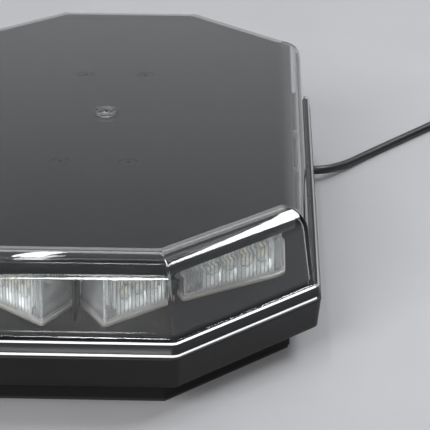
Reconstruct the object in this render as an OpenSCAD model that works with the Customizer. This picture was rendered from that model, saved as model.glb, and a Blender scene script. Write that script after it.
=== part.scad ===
// Low-profile LED warning beacon: octagonal clear dome over a flat cover plate, ring of lamp heads,
// drafted base on a magnetic foot, and a supply cord with a 12 V accessory plug.
// The long axis lies along Y, the short front face looks towards -Y, the cord leaves on +X.

/* [Body] */
// Width over the base rim
body_w = 200; // [180:1:250]
// Length over the base rim
body_l = 358; // [330:1:450]
// Leg of the 45 degree corner cut of the rim
corner_cut = 58; // [52:0.5:64]
// Plan radius of the rim's corners
edge_r = 5; // [3:0.5:7]
// Height of the magnetic foot
foot_h = 12.5; // [11.8:0.1:16]
// Inset of the foot from the rim
foot_set = 13; // [12.5:0.5:16]
// Wall of the foot
foot_wall = 2.5; // [2:0.1:3.5]
// Height of the base skirt
skirt_h = 14.5; // [12.5:0.5:20]
// Inward draft of the skirt from its rim to its lower edge
skirt_draft = 1.5; // [0.5:0.1:2]
// Wall of the skirt
skirt_wall = 2.5; // [2:0.1:3]
// Rise of the deck above the rim
deck_rise = 5; // [3:0.5:8]
// Thickness of the deck
deck_t = 2.5; // [2:0.1:3.5]

/* [Dome] */
// Height of the dome above the rim
dome_h = 38; // [36.5:0.5:48]
// Wall of the dome
dome_t = 2.5; // [2:0.1:2.8]
// Height of the flange at the foot of the dome
flange_h = 5; // [4:0.1:7]
// Inset of the flange from the rim
flange_set = 1.5; // [0.5:0.1:2]
// Inset of the foot of the dome's wall
wall_set = 3.5; // [3:0.1:4]
// Inset of the top of the dome's wall
shoulder_set = 7; // [6:0.1:8]
// Width of the rounded shoulder, seen from above
shoulder_w = 11.5; // [9:0.5:14]
// Height of the rounded shoulder
shoulder_h = 5; // [4:0.5:6]
// Thickness of the gasket under the flange
gasket_t = 1; // [0.8:0.1:1.5]

/* [Cover plate] */
// Inset of the plate from the rim
plate_set = 12.5; // [12:0.5:16]
// Thickness of the plate
plate_t = 2; // [1.5:0.1:2.5]
// Depth of the downturned lip
plate_lip = 6.5; // [4:0.5:8]
// Gap between the plate and the flat of the dome
plate_gap = 1.2; // [1:0.1:3]
// Distance of the plate screws across
screw_dx = 30; // [24:1:40]
// Distance of the plate screws along
screw_dy = 122; // [116:1:150]
// Diameter of the recess for each plate screw
recess_d = 9.6; // [9:0.2:12]
// Depth of that recess
recess_h = 2.4; // [2:0.1:3]

/* [Lamp heads] */
// Wall of the clear lens of each head
lens_t = 1.8; // [1.2:0.1:2.2]
// Gap over a head, below the lip of the plate
head_gap = 0.3; // [0.2:0.1:1]
// Depth of a head on the long sides
side_head_d = 11.5; // [10.5:0.5:14]
// Inset of the side heads' faces from the rim
side_head_set = 17; // [15:0.5:19]
// Length of a head on the long sides
side_head_l = 46; // [30:1:47]
// Thickness of the LED boards
board_t = 1.6; // [1:0.1:2]
// Distance from a lens face to its LED board
board_set = 6.5; // [5.5:0.5:7]
// Side of an LED package
led_w = 3.5; // [2:0.1:5]

/* [Magnets] */
// Diameter of a magnet cup
magnet_d = 43; // [30:1:46]
// Height of a magnet cup
magnet_h = 8; // [6:0.5:9]
// Distance of the magnets across
magnet_dx = 94; // [70:1:98]
// Distance of the magnets along
magnet_dy = 200; // [150:1:220]
// Thickness of the rubber pad
pad_t = 1.5; // [1:0.1:2]

/* [Fasteners] */
// Diameter of the cover screws' shanks
cover_screw_d = 3; // [2.5:0.1:3.5]
// Diameter of the dome screws' shanks
dome_screw_d = 3; // [2.5:0.1:3.5]
// Diameter of the plate screws' shanks
plate_screw_d = 4; // [3:0.1:5]
// Diameter of the posts under the plate
post_d = 8; // [7:0.5:12]
// Radial clearance round a shank
shank_gap = 0.05; // [0.02:0.01:0.1]

/* [Cord] */
// Diameter of the supply cord
cord_d = 4.5; // [4:0.1:5]
// Position of the cord's exit along the right side
exit_y = 77; // [70:0.5:85]
// Height of the cord's exit
exit_z = 6.5; // [6:0.1:7]
// Outer diameter of the coil
coil_d = 86; // [80:1:95]
// Width of the coil's bundle
bundle_w = 19; // [16:0.5:24]
// Height of the coil's bundle
bundle_h = 17; // [14:0.5:22]

/* [Plug] */
// Diameter of the plug's handle
handle_d = 25; // [23:0.5:26]
// Length of the handle
handle_l = 36; // [34:1:50]
// Diameter of the plug's barrel
barrel_d = 20.8; // [20.6:0.1:21]
// Length of the barrel
barrel_l = 32; // [30:1:40]
// Length of the cap at the plug's end
cap_l = 6; // [4:0.5:8]
// Diameter of the centre contact
tip_d = 7; // [6:0.1:8]
// Travel of the centre contact
tip_travel = 4; // [2:0.5:5]
// Travel of the pattern button
button_travel = 1.5; // [0.8:0.1:1.8]
// Diameter of the pattern button
button_d = 6; // [5:0.1:6.4]
// Length of the rocker
rocker_l = 13; // [11:0.5:13]
// Width of the rocker
rocker_w = 8; // [6:0.1:9]
// Tilt of the rocker either side of level
rocker_tilt = 7; // [5:1:8]

/* [Hidden] */
$fn = 48;
W = body_w / 2;
L = body_l / 2;
rim_z = foot_h + skirt_h;
deck_z = rim_z + deck_rise;
top_z = rim_z + dome_h;
flange_z0 = rim_z + gasket_t;
flange_z1 = flange_z0 + flange_h;
wall_z1 = top_z - shoulder_h;
inner_top = top_z - dome_t;
plate_z1 = inner_top - plate_gap;
plate_z0 = plate_z1 - plate_t;
head_z1 = plate_z1 - plate_lip - head_gap;
head_h = head_z1 - deck_z;
spigot_set = wall_set + dome_t + 0.7;
cover_set = skirt_draft + skirt_wall + 0.3;
cover_t = 2.5;
// how far the rim stands from its nominal corners, used to place the heads against it
sx = W - 100;
sy = L - 179;
cover_ring = (cover_set + foot_set) / 2;
socket_t = 1.5;

// ---- outlines ----
function oct(d) = let (w = W - d, l = L - d, c = corner_cut - 0.5858 * d)
  [[w, c - l], [w, l - c], [w - c, l], [c - w, l], [-w, l - c], [-w, c - l], [c - w, -l], [w - c, -l]];
function ring(d, r, n = 5) = let (o = oct(d))
  [for (i = [0:7]) let (m = 45 * i - 22.5, c = o[i] - r / cos(22.5) * [cos(m), sin(m)])
    for (j = [0:n - 1]) let (t = 45 * (i - 1) + 45 * j / (n - 1)) c + r * [cos(t), sin(t)]];
function corner_r(d) = max(edge_r - 0.6 * d, 1.2);
function nrm(a, b) = let (e = b - a) [-e[1], e[0]] / norm(e);
function inset(p, d) = let (n = len(p)) [for (i = [0:n - 1])
  let (a = nrm(p[(i + n - 1) % n], p[i]), b = nrm(p[i], p[(i + 1) % n])) p[i] + d * (a + b) / (1 + a * b)];

// lofted solid through rows of [inset, height]
module loft(rows) {
  n = 40;
  m = len(rows);
  pts = [for (w = rows) for (p = ring(w[0], corner_r(w[0]))) [p[0], p[1], w[1]]];
  side = [for (k = [0:m - 2]) for (i = [0:n - 1]) let (j = (i + 1) % n)
    each [[k * n + i, (k + 1) * n + i, (k + 1) * n + j], [k * n + i, (k + 1) * n + j, k * n + j]]];
  polyhedron(
    points = pts,
    faces = concat([[for (i = [0:n - 1]) i], [for (i = [n - 1:-1:0]) (m - 1) * n + i]], side)
  );
}
// straight octagonal slab
module slab(d, z0, z1) {
  translate([0, 0, z0]) linear_extrude(z1 - z0) polygon(ring(d, corner_r(d)));
}
module prism(p, z0, z1) {
  translate([0, 0, z0]) linear_extrude(z1 - z0) polygon(p);
}
// the same thing on both sides and at both ends
module four() {
  for (x = [0, 1]) for (y = [0, 1]) mirror([x, 0, 0]) mirror([0, y, 0]) children();
}
module round_bar(p, q, r) {
  v = q - p;
  translate(p) rotate([0, acos(v[2] / norm(v)), atan2(v[1], v[0])]) cylinder(h = norm(v), r = r, $fn = 24);
}

// ---- fastener places ----
cover_xy = concat(
  [for (x = [-1, 1]) for (y = [-104, 26, 104]) [x * (W - cover_ring), y]],
  [for (x = [-1, 1]) for (y = [-1, 1]) [x * 24, y * (L - cover_ring)]],
  [for (x = [-1, 1]) for (y = [-1, 1]) let (m = cover_ring / sqrt(2))
    [x * (W - corner_cut / 2 - m), y * (L - corner_cut / 2 - m)]]
);
dome_xy = [for (x = [-1, 1]) for (y = [-1, 0, 1]) [x * (W - wall_set - dome_t - 2.2), y * 52]];
magnet_xy = [for (x = [-1, 1]) for (y = [-1, 1]) [x * magnet_dx / 2, y * magnet_dy / 2]];
plate_xy = [for (x = [-1, 1]) for (y = [-1, 1]) [x * screw_dx / 2, y * screw_dy / 2]];
board_xy = [for (x = [-1, 1]) for (y = [-1, 1]) [x * 30, y * 42]];
boss_d = cover_screw_d + 3.2;
dome_boss_r = 3.6;

// ---- base ----
module base_housing() {
  color("#1d1d1f") difference() {
    union() {
      difference() {
        loft([[skirt_draft, foot_h], [0, rim_z]]);
        slab(skirt_draft + skirt_wall, foot_h - 1, rim_z - deck_t);
      }
      slab(spigot_set, rim_z - deck_t, deck_z);
      for (p = cover_xy) translate([p[0], p[1], foot_h + cover_t])
        cylinder(h = rim_z - foot_h - cover_t - 1, d = boss_d);
    }
    slab(spigot_set + 2.5, rim_z - deck_t - 1, deck_z - deck_t);
    for (p = cover_xy) translate([p[0], p[1], foot_h])
      cylinder(h = rim_z - foot_h - 3, d = cover_screw_d + 2 * shank_gap);
    for (p = dome_xy) {
      translate([p[0], p[1], rim_z]) cylinder(h = deck_rise + 1, r = dome_boss_r + 0.4);
      translate([p[0], p[1], foot_h]) cylinder(h = skirt_h + 1, d = dome_screw_d + 2 * shank_gap);
    }
    // cable way from the foot up to the board
    translate([20, 52, foot_h]) cylinder(h = deck_z, d = 9);
    for (p = plate_xy) translate([p[0], p[1], foot_h])
      cylinder(h = deck_z, d = plate_screw_d + 2 * shank_gap);
  }
}

// ---- foot ----
module foot_pan() {
  color("#232325") difference() {
    union() {
      slab(foot_set, pad_t, foot_h);
      slab(cover_set, foot_h, foot_h + cover_t);
    }
    difference() {
      slab(foot_set + foot_wall, pad_t + 2.5, foot_h + cover_t + 1);
      for (p = magnet_xy) translate([p[0], p[1], 0])
        cylinder(h = magnet_h + socket_t + 1.5, d = magnet_d + 5);
    }
    for (p = magnet_xy) translate([p[0], p[1], -1]) {
      cylinder(h = magnet_h + 1 + socket_t - 1, d = magnet_d + 0.8);
      cylinder(h = 30, d = 4 + 2 * shank_gap);
    }
    for (p = cover_xy) translate([p[0], p[1], foot_h - 1]) {
      cylinder(h = 10, d = cover_screw_d + 2 * shank_gap);
    }
    for (p = dome_xy) translate([p[0], p[1], foot_h - 1]) cylinder(h = 10, d = dome_screw_d + 3.4);
    translate([W - foot_set - foot_wall - 1, exit_y, exit_z])
      rotate([0, 90, 0]) cylinder(h = foot_wall + 2, d = cord_d + 3);
    translate([cover_ring - W, 40, foot_h - 1]) cylinder(h = 10, d = 5);
  }
}
module rubber_pad() {
  color("#151515") difference() {
    slab(foot_set + 0.6, 0, pad_t);
    for (p = magnet_xy) translate([p[0], p[1], -1]) cylinder(h = 9, d = magnet_d + 0.8);
  }
}
module magnet_cups() {
  color("silver") for (p = magnet_xy) translate([p[0], p[1], 0.3]) difference() {
    cylinder(h = magnet_h - 0.3, d = magnet_d);
    translate([0, 0, -1]) cylinder(h = magnet_h - 2.3 + 1 - 0.3, d = magnet_d - 5);
    cylinder(h = 30, d = 4 + 2 * shank_gap, center = true);
  }
}
module magnet_discs() {
  color("#3a3a3c") for (p = magnet_xy) translate([p[0], p[1], 0.6]) difference() {
    cylinder(h = magnet_h - 2.9, d = magnet_d - 6);
    cylinder(h = 30, d = 9, center = true);
  }
}
module magnet_screws() {
  color("silver") for (p = magnet_xy) translate([p[0], p[1], magnet_h - 2.3]) {
    translate([0, 0, -2.4]) difference() {
      cylinder(h = 2.4, d = 7.6);
      translate([0, 0, -0.1]) cylinder(h = 1.4, d = 3.4, $fn = 6);
    }
    cylinder(h = 8, d = 4);
    translate([0, 0, 2.3 + socket_t + 1.6]) cylinder(h = 3, d = 7.6, $fn = 6);
  }
}
module cover_screws() {
  color("silver") for (p = cover_xy) translate([p[0], p[1], foot_h]) {
    translate([0, 0, -1.8]) difference() {
      cylinder(h = 1.8, d = 5.6);
      translate([0, 0, -0.1]) cylinder(h = 1.1, d = 2.2, $fn = 6);
    }
    cylinder(h = cover_t + 7, d = cover_screw_d);
  }
}
module vent_plug() {
  color("#2c2c2e") translate([cover_ring - W, 40, foot_h - 1.2]) {
    difference() {
      cylinder(h = 1.2, d = 6.6);
      translate([0, 0, -0.1]) cylinder(h = 0.7, d = 3);
    }
    cylinder(h = cover_t + 2.4, d = 4.9);
  }
}

// ---- dome ----
module dome_gasket() {
  color("#3c3c3e") difference() {
    slab(flange_set + 0.4, rim_z, flange_z0);
    slab(spigot_set - 0.3, rim_z - 1, flange_z0 + 1);
  }
}
function shoulder(d0, d1, z0, z1, n = 6) = [for (i = [0:n]) let (t = 90 * i / n)
  [d1 - (d1 - d0) * cos(t), z0 + (z1 - z0) * sin(t)]];
module dome() {
  inner_z = inner_top - shoulder_h * 0.5;
  color([0.85, 0.88, 0.9, 0.35]) difference() {
    union() {
      difference() {
        loft(concat(
          [[flange_set, flange_z0], [flange_set, flange_z1], [wall_set, flange_z1 + 0.01]],
          shoulder(shoulder_set, shoulder_set + shoulder_w, wall_z1, top_z)
        ));
        loft(concat(
          [[wall_set + dome_t, flange_z0 - 1], [wall_set + dome_t, flange_z0]],
          shoulder(shoulder_set + dome_t, shoulder_set + shoulder_w, inner_z, inner_top)
        ));
      }
      for (p = dome_xy) translate([p[0], p[1], flange_z0]) cylinder(h = 13, r = dome_boss_r);
      // gate mark of the moulding
      translate([0, 0, top_z - 0.6]) difference() {
        cylinder(h = 0.9, d = 11);
        cylinder(h = 2, d = 8);
      }
      translate([0, 0, top_z - 0.6]) cylinder(h = 1.1, d = 2.4);
    }
    for (p = dome_xy) translate([p[0], p[1], flange_z0 - 1])
      cylinder(h = 11, d = dome_screw_d + 2 * shank_gap);
  }
}
module dome_screws() {
  color("silver") for (p = dome_xy) translate([p[0], p[1], rim_z - deck_t]) {
    translate([0, 0, -2]) difference() {
      cylinder(h = 2, d = 5.6);
      translate([0, 0, -0.1]) cylinder(h = 1.2, d = 2.2, $fn = 6);
    }
    cylinder(h = deck_t + gasket_t + 8, d = dome_screw_d);
  }
}

// ---- cover plate ----
module cover_plate() {
  color("#2a2a2c") difference() {
    union() {
      difference() {
        slab(plate_set, plate_z1 - plate_lip, plate_z1);
        slab(plate_set + plate_t, plate_z1 - plate_lip - 1, plate_z0);
      }
      for (p = plate_xy) translate([p[0], p[1], plate_z1 - recess_h - plate_t])
        cylinder(h = recess_h + plate_t - 0.5, d = recess_d + 2 * plate_t);
    }
    for (p = plate_xy) translate([p[0], p[1], plate_z1]) {
      translate([0, 0, -recess_h]) cylinder(h = recess_h + 1, d = recess_d);
      translate([0, 0, -10]) cylinder(h = 20, d = plate_screw_d + 2 * shank_gap);
    }
  }
}
module plate_screws() {
  color("#3a3a3c") for (p = plate_xy) translate([p[0], p[1], plate_z1 - recess_h]) {
    difference() {
      cylinder(h = 1.9, d = 7.6);
      translate([0, 0, 0.9]) cylinder(h = 2, d = 3, $fn = 6);
    }
    translate([0, 0, -plate_t - 8]) cylinder(h = plate_t + 8, d = plate_screw_d);
  }
}
module plate_posts() {
  color("silver") for (p = plate_xy) translate([p[0], p[1], deck_z]) {
    difference() {
      cylinder(h = plate_z1 - recess_h - plate_t - deck_z, d = post_d);
      translate([0, 0, 4]) cylinder(h = 80, d = plate_screw_d + 2 * shank_gap);
    }
    translate([0, 0, -deck_t]) cylinder(h = deck_t, d = plate_screw_d);
  }
}

// ---- lamp heads ----
// outlines of the right front heads, in plan, anticlockwise; the others mirror them
side_x = W - side_head_set;
end_head = [[1.4, -136 - sy], [1.4, -143 - sy], [12.4, -163 - sy], [37.5 + sx / 2, -140.5 - sy],
  [37.5 + sx / 2, -136 - sy]];
corner_head = [[39.5 + sx / 2, -131 - sy], [42 + sx / 2, -137.5 - sy], [80 + sx, -112.5 - sy],
  [83 + sx, -109 - sy], [83 + sx, -77 - sy], [73 + sx, -77 - sy], [73 + sx, -103.5 - sy],
  [45.5 + sx / 2, -121.6 - sy]];
side_gap = 3.5;
function side_head(k) = let (y = k * (side_head_l + side_gap))
  [[side_x, y - side_head_l / 2], [side_x, y + side_head_l / 2],
   [side_x - side_head_d, y + side_head_l / 2], [side_x - side_head_d, y - side_head_l / 2]];
// clear lens with a closed top and an open back: p is its outline, cav its hollow, which runs out of the back
module lens(p, cav) {
  color([0.88, 0.9, 0.92, 0.4]) difference() {
    prism(p, deck_z, head_z1);
    prism(cav, deck_z - 1, head_z1 - lens_t);
  }
}
module end_lens() {
  q = inset(end_head, lens_t);
  lens(end_head, [[q[1][0], end_head[0][1] + 6], q[1], q[2], q[3], [q[3][0], end_head[0][1] + 6]]);
}
module corner_lens() {
  q = inset(corner_head, lens_t);
  b = corner_head[5][0] - 4;
  lens(corner_head, [q[0], q[1], q[2], q[3], q[4], [b, q[4][1]], [b, corner_head[6][1] + 3],
    q[7] + 5 * (q[7] - q[0]) / norm(q[7] - q[0])]);
}
module side_lens(k) {
  y = k * (side_head_l + side_gap);
  h = side_head_l / 2 - lens_t;
  lens(side_head(k), [[side_x - lens_t, y - h], [side_x - lens_t, y + h],
    [side_x - side_head_d - 1, y + h], [side_x - side_head_d - 1, y - h]]);
}
module front_lens_left() { mirror([1, 0, 0]) end_lens(); }
module front_lens_right() { end_lens(); }
module rear_lens_left() { mirror([1, 0, 0]) mirror([0, 1, 0]) end_lens(); }
module rear_lens_right() { mirror([0, 1, 0]) end_lens(); }
module corner_lens_front_left() { mirror([1, 0, 0]) corner_lens(); }
module corner_lens_front_right() { corner_lens(); }
module corner_lens_rear_left() { mirror([1, 0, 0]) mirror([0, 1, 0]) corner_lens(); }
module corner_lens_rear_right() { mirror([0, 1, 0]) corner_lens(); }
module left_lens_front() { mirror([1, 0, 0]) side_lens(-1); }
module left_lens_middle() { mirror([1, 0, 0]) side_lens(0); }
module left_lens_rear() { mirror([1, 0, 0]) side_lens(1); }
module right_lens_front() { side_lens(-1); }
module right_lens_middle() { side_lens(0); }
module right_lens_rear() { side_lens(1); }

// ---- LED boards and LEDs: each row is [start, end, count] along a lens face ----
end_q = inset(end_head, board_set);
corner_q = inset(corner_head, board_set);
end_rows = [[end_q[1], end_q[2] - [0.2, 0], 1], [end_q[2] + [0.4, 0.4], end_q[3], 3]];
corner_rows = [[corner_q[1] + 0.08 * (corner_q[2] - corner_q[1]), corner_q[2], 4]];
side_rows = [for (k = [-1:1]) let (y = k * (side_head_l + side_gap), h = side_head_l / 2 - lens_t - 1)
  [[side_x - board_set, y - h], [side_x - board_set, y + h], 4]];
board_h = 16;
led_z = deck_z + 2 + board_h / 2;
module boards(rows) {
  for (r = rows) let (v = r[1] - r[0]) translate([r[0][0], r[0][1], deck_z + 2])
    rotate([0, 0, atan2(v[1], v[0])]) cube([norm(v), board_t, board_h]);
}
module leds(rows) {
  for (r = rows) let (v = r[1] - r[0], u = v / norm(v), o = -nrm(r[0], r[1]))
    for (i = [1:r[2]]) let (p = r[0] + u * norm(v) * (i - 0.5) / r[2])
      translate([p[0], p[1], led_z]) rotate([0, 0, atan2(o[1], o[0])]) {
        translate([0, -led_w / 2, -led_w / 2]) cube([0.8, led_w, led_w]);
        translate([0.8, 0, 0]) rotate([0, 90, 0]) cylinder(h = 0.9, r1 = 1.4, r2 = 0.9);
      }
}
module end_led_boards() { color("#e6e6e2") four() boards(end_rows); }
module corner_led_boards() { color("#e6e6e2") four() boards(corner_rows); }
module side_led_boards() {
  color("#e6e6e2") for (x = [0, 1]) mirror([x, 0, 0]) boards(side_rows);
}
module end_leds() { color("#f2d25a") four() leds(end_rows); }
module corner_leds() { color("#f2d25a") four() leds(corner_rows); }
module side_leds() { color("#f2d25a") for (x = [0, 1]) mirror([x, 0, 0]) leds(side_rows); }

// ---- heat frame: floor plate with an upright wall behind the heads ----
frame_x = side_x - side_head_d - 3;
frame_y = 134 + sy;
frame_pts = [[frame_x, 99 + sy], [40 + sx / 2, 117.5 + sy], [35 + sx / 2, frame_y], [-35 - sx / 2, frame_y],
  [-40 - sx / 2, 117.5 + sy], [-frame_x, 99 + sy], [-frame_x, -99 - sy], [-40 - sx / 2, -117.5 - sy],
  [-35 - sx / 2, -frame_y], [35 + sx / 2, -frame_y], [40 + sx / 2, -117.5 - sy], [frame_x, -99 - sy]];
frame_fix = [for (x = [-1, 1]) for (y = [-1, 0, 1]) [x * (frame_x - 8), y * 78]];
module heat_frame() {
  color("#b9bcc0") difference() {
    prism(frame_pts, deck_z, head_z1 - 2);
    prism(inset(frame_pts, 2), deck_z + 1.5, head_z1);
    for (p = plate_xy) translate([p[0], p[1], 0]) cylinder(h = 99, d = post_d + 1);
    for (p = frame_fix) translate([p[0], p[1], 0]) cylinder(h = 99, d = 3.1);
    translate([20, 52, 0]) cylinder(h = 99, d = 9);
  }
}
module frame_screws() {
  color("silver") for (p = frame_fix) translate([p[0], p[1], deck_z + 1.5]) difference() {
    cylinder(h = 2, d = 5.6);
    translate([0, 0, 1]) cylinder(h = 2, d = 2.2, $fn = 6);
  }
}

// ---- driver board ----
pcb_z = deck_z + 1.5 + 5;
module driver_board() {
  color("#1f5b34") difference() {
    translate([-36, -48, pcb_z]) cube([72, 96, 1.6]);
    for (p = board_xy) translate([p[0], p[1], 0]) cylinder(h = 99, d = 3.1);
  }
}
module board_standoffs() {
  color("silver") for (p = board_xy) translate([p[0], p[1], deck_z + 1.5]) {
    cylinder(h = 5, d = 6);
    cylinder(h = 6.7, d = 3);
    translate([0, 0, 6.6]) difference() {
      cylinder(h = 2, d = 5.6);
      translate([0, 0, 1]) cylinder(h = 2, d = 2.2, $fn = 6);
    }
  }
}
module controller_chip() {
  color("#202022") translate([-6, -6, pcb_z + 1.6]) cube([12, 12, 1.8]);
}
module capacitors() {
  color("#2b3a6b") for (y = [-9, 9]) translate([-19, 26 + y, pcb_z + 1.6]) cylinder(h = 12, d = 10);
}
module inductors() {
  color("#4a4a4e") for (y = [-7, 7]) translate([10, 24 + y, pcb_z + 1.6]) cube([12, 12, 6]);
}
module power_switches() {
  color("#1b1b1d") for (y = [-3:2]) translate([18, 10 * y - 10, pcb_z + 1.6]) cube([9, 6.5, 2.3]);
}
module terminal_block() {
  color("#3f8a4f") translate([-8, 34, pcb_z + 1.6]) difference() {
    cube([16, 10, 10]);
    for (x = [4, 12]) translate([x, 5, 6]) cylinder(h = 5, d = 3.2);
  }
}
module wire_sockets() {
  color("#ecece6") for (y = [-3:2]) translate([-33, 11 * y - 4, pcb_z + 1.6]) difference() {
    cube([6, 7.5, 6]);
    translate([1, 1, 1.2]) cube([6, 5.5, 3.6]);
  }
}
// wires from the sockets along the frame's floor to the heads
module harness() {
  z = deck_z + 1.5 + 1.6;
  color("#a02020") for (s = [-1, 1]) for (k = [0:2]) {
    a = [-50 + 4 * k, 20 * s, z];
    b = [-50 + 4 * k, (96 - 6 * k) * s, z];
    c = [30 - 8 * k, (112 - 6 * k) * s, z];
    round_bar(a, b, 0.9);
    translate(b) sphere(r = 1.05, $fn = 24);
    round_bar(b, c, 0.9);
  }
}

// ---- cord ----
exit_x = W - foot_set;
relief_l = 6;
module cord_grommet() {
  color("#161616") difference() {
    translate([exit_x, exit_y, exit_z]) rotate([0, 90, 0]) difference() {
      union() {
        cylinder(h = 2, d = cord_d + 5.5);
        translate([0, 0, -foot_wall]) cylinder(h = foot_wall, d = cord_d + 2.9);
        translate([0, 0, -foot_wall - 2]) cylinder(h = 2, d = cord_d + 5.5);
      }
      translate([0, 0, -10]) cylinder(h = 20, d = cord_d + 0.1);
    }
    // the inner flange stands flat on the pan's floor
    translate([exit_x - foot_wall - 3, exit_y - 10, 0]) cube([3, 20, pad_t + 2.52]);
  }
}
module strain_relief() {
  color("#161616") translate([exit_x + 2, exit_y, exit_z]) rotate([0, 90, 0]) difference() {
    cylinder(h = relief_l, d1 = cord_d + 4, d2 = cord_d + 1.2);
    translate([0, 0, -1]) cylinder(h = relief_l + 2, d = cord_d + 0.1);
  }
}
// the cord's course from the foot to its coil, in round numbers
cord_pts = [
  [exit_x - 3, exit_y, exit_z], [exit_x + 3, exit_y, exit_z], [exit_x + 8, exit_y, exit_z],
  [100, 78, 6.2], [106, 81, 5.4], [112, 87, 4.2], [120, 97, 2.9], [130, 111, 2.3], [141, 125, 2.3],
  [153, 140, 2.3], [165, 155, 2.3], [176, 168, 3], [186, 180, 5], [194, 190, 7.5], [201, 198, 9]
];
tail_pts = [
  [264.8, 172, 14.1], [264.6, 164, 14], [263.4, 156, 13.8], [261.4, 148, 13.4], [259.4, 140, 12.9],
  [258.2, 133, 12.6], [258, 128, 12.5]
];
coil_c = [231, 172];
function smooth(p) = [for (i = [0:len(p) - 2]) each [p[i], (p[i] + p[i + 1]) / 2 +
  (i > 0 && i < len(p) - 2 ? (p[i] + p[i + 1] - p[i - 1] - p[i + 2]) / 16 : [0, 0, 0])], p[len(p) - 1]];
module tube(p, r, s = 10) {
  n = len(p);
  f = [for (i = [0:n - 1]) let (v = p[min(i + 1, n - 1)] - p[max(i - 1, 0)]) v / norm(v)];
  x = [for (v = f) let (c = cross([0, 0, 1], v)) c / norm(c)];
  pts = [for (i = [0:n - 1]) let (y = cross(f[i], x[i])) for (j = [0:s - 1])
    p[i] + r * (cos(360 * j / s) * x[i] + sin(360 * j / s) * y)];
  side = [for (i = [0:n - 2]) for (j = [0:s - 1]) let (k = (j + 1) % s)
    each [[i * s + j, (i + 1) * s + j, (i + 1) * s + k], [i * s + j, (i + 1) * s + k, i * s + k]]];
  polyhedron(
    points = pts,
    faces = concat([[for (j = [0:s - 1]) j], [for (j = [s - 1:-1:0]) (n - 1) * s + j]], side)
  );
}
module supply_cord() { color("#1a1a1a") tube(smooth(cord_pts), cord_d / 2); }
module cord_tail() { color("#1a1a1a") tube(smooth(tail_pts), cord_d / 2); }
module cord_coil() {
  a = coil_d / 2 - bundle_w;
  b = coil_d / 2;
  c = 5;
  color("#1a1a1a") translate([coil_c[0], coil_c[1], 0]) rotate_extrude($fn = 64)
    polygon([[a + c, 0], [b - c, 0], [b, c], [b, bundle_h - c], [b - c, bundle_h], [a + c, bundle_h],
      [a, bundle_h - c], [a, c]]);
}
module cord_tie() {
  color("#101010") translate([coil_c[0], coil_c[1] - coil_d / 2 + bundle_w / 2, 0]) {
    difference() {
      translate([-1.8, -bundle_w / 2 - 1.2, 0]) cube([3.6, bundle_w + 2.4, bundle_h + 1.2]);
      translate([-5, -bundle_w / 2 - 0.1, 1.1]) cube([10, bundle_w + 0.2, bundle_h - 1]);
    }
    translate([-3, -3, bundle_h + 1.2]) cube([6, 6, 3]);
  }
}

// ---- plug: local +Z runs to its tip, local +Y is up ----
plug_r = handle_d / 2;
flat_y = plug_r - 2;
relief2_l = 14;
module plug_frame() {
  translate([258, 130, plug_r]) rotate([90, 0, 0]) children();
}
h0 = relief2_l;
h1 = h0 + handle_l;
b1 = h1 + barrel_l;
c1 = b1 + cap_l;
rocker_z = h0 + 11;
button_z = h0 + 25;
rocker_y = flat_y - 1.2;
module plug_relief() {
  color("#161616") plug_frame() difference() {
    union() {
      cylinder(h = relief2_l, d1 = cord_d + 2.4, d2 = cord_d + 5.5);
      for (i = [0:3]) translate([0, 0, 1.5 + 3.2 * i]) cylinder(h = 1.4, d = cord_d + 3.9 + 0.7 * i);
    }
    translate([0, 0, -1]) cylinder(h = relief2_l + 2, d = cord_d + 0.1);
  }
}
module plug_handle() {
  color("#1c1c1e") plug_frame() difference() {
    intersection() {
      translate([0, 0, h0]) union() {
        cylinder(h = 2, d1 = handle_d - 4, d2 = handle_d);
        translate([0, 0, 2]) cylinder(h = handle_l - 4, d = handle_d);
        translate([0, 0, handle_l - 2]) cylinder(h = 2, d1 = handle_d, d2 = handle_d - 3);
      }
      translate([-30, -30, 0]) cube([60, 30 + flat_y, 99]);
    }
    translate([-rocker_w / 2 - 0.3, flat_y - 7, rocker_z - rocker_l / 2 - 0.8])
      cube([rocker_w + 0.6, 9, rocker_l + 1.6]);
    translate([-rocker_w / 2 - 2, rocker_y, rocker_z])
      rotate([0, 90, 0]) cylinder(h = rocker_w + 4, r = 1 + shank_gap);
    translate([0, flat_y + 1, button_z])
      rotate([90, 0, 0]) cylinder(h = 3, d = button_d + 2 * shank_gap);
    translate([0, flat_y - 1.5, button_z]) rotate([90, 0, 0]) cylinder(h = 5, d = button_d + 3);
    translate([0, flat_y + 1, h0 + 32]) rotate([90, 0, 0]) cylinder(h = 2.2, d = 2.4);
    translate([0, 0, h0 - 1]) cylinder(h = 6, d = cord_d + 0.1);
    translate([0, 0, h1 - 4]) cylinder(h = 5, d = 12);
  }
}
module plug_rocker() {
  color("#2a2a2c") plug_frame() translate([0, rocker_y, rocker_z]) rotate([rocker_tilt, 0, 0]) {
    rotate([0, 90, 0]) linear_extrude(rocker_w, center = true)
      polygon([[-rocker_l / 2, -2.5], [rocker_l / 2, -2.5], [rocker_l / 2, 2.9], [0, 1.9],
        [-rocker_l / 2, 2.9]]);
    rotate([0, 90, 0]) cylinder(h = rocker_w + 3, r = 1, center = true);
  }
}
module plug_button() {
  color("#b02a1e") plug_frame() translate([0, flat_y + 1.6, button_z]) rotate([90, 0, 0]) {
    cylinder(h = 3.2, d = button_d);
    translate([0, 0, 3.2]) cylinder(h = 1.2, d = button_d + 2);
  }
}
module plug_barrel() {
  color("#1a1a1c") plug_frame() difference() {
    union() {
      translate([0, 0, h1]) cylinder(h = barrel_l, d = barrel_d);
      translate([0, 0, h1 - 3.9]) cylinder(h = 4, d = 11.9);
    }
    translate([0, 0, h1 + 1.5]) cylinder(h = barrel_l, d = 12);
    for (x = [-1, 1]) translate([x * barrel_d / 2, 0, b1 - 8.5]) cube([4, 5.4, 13], center = true);
  }
}
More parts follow.
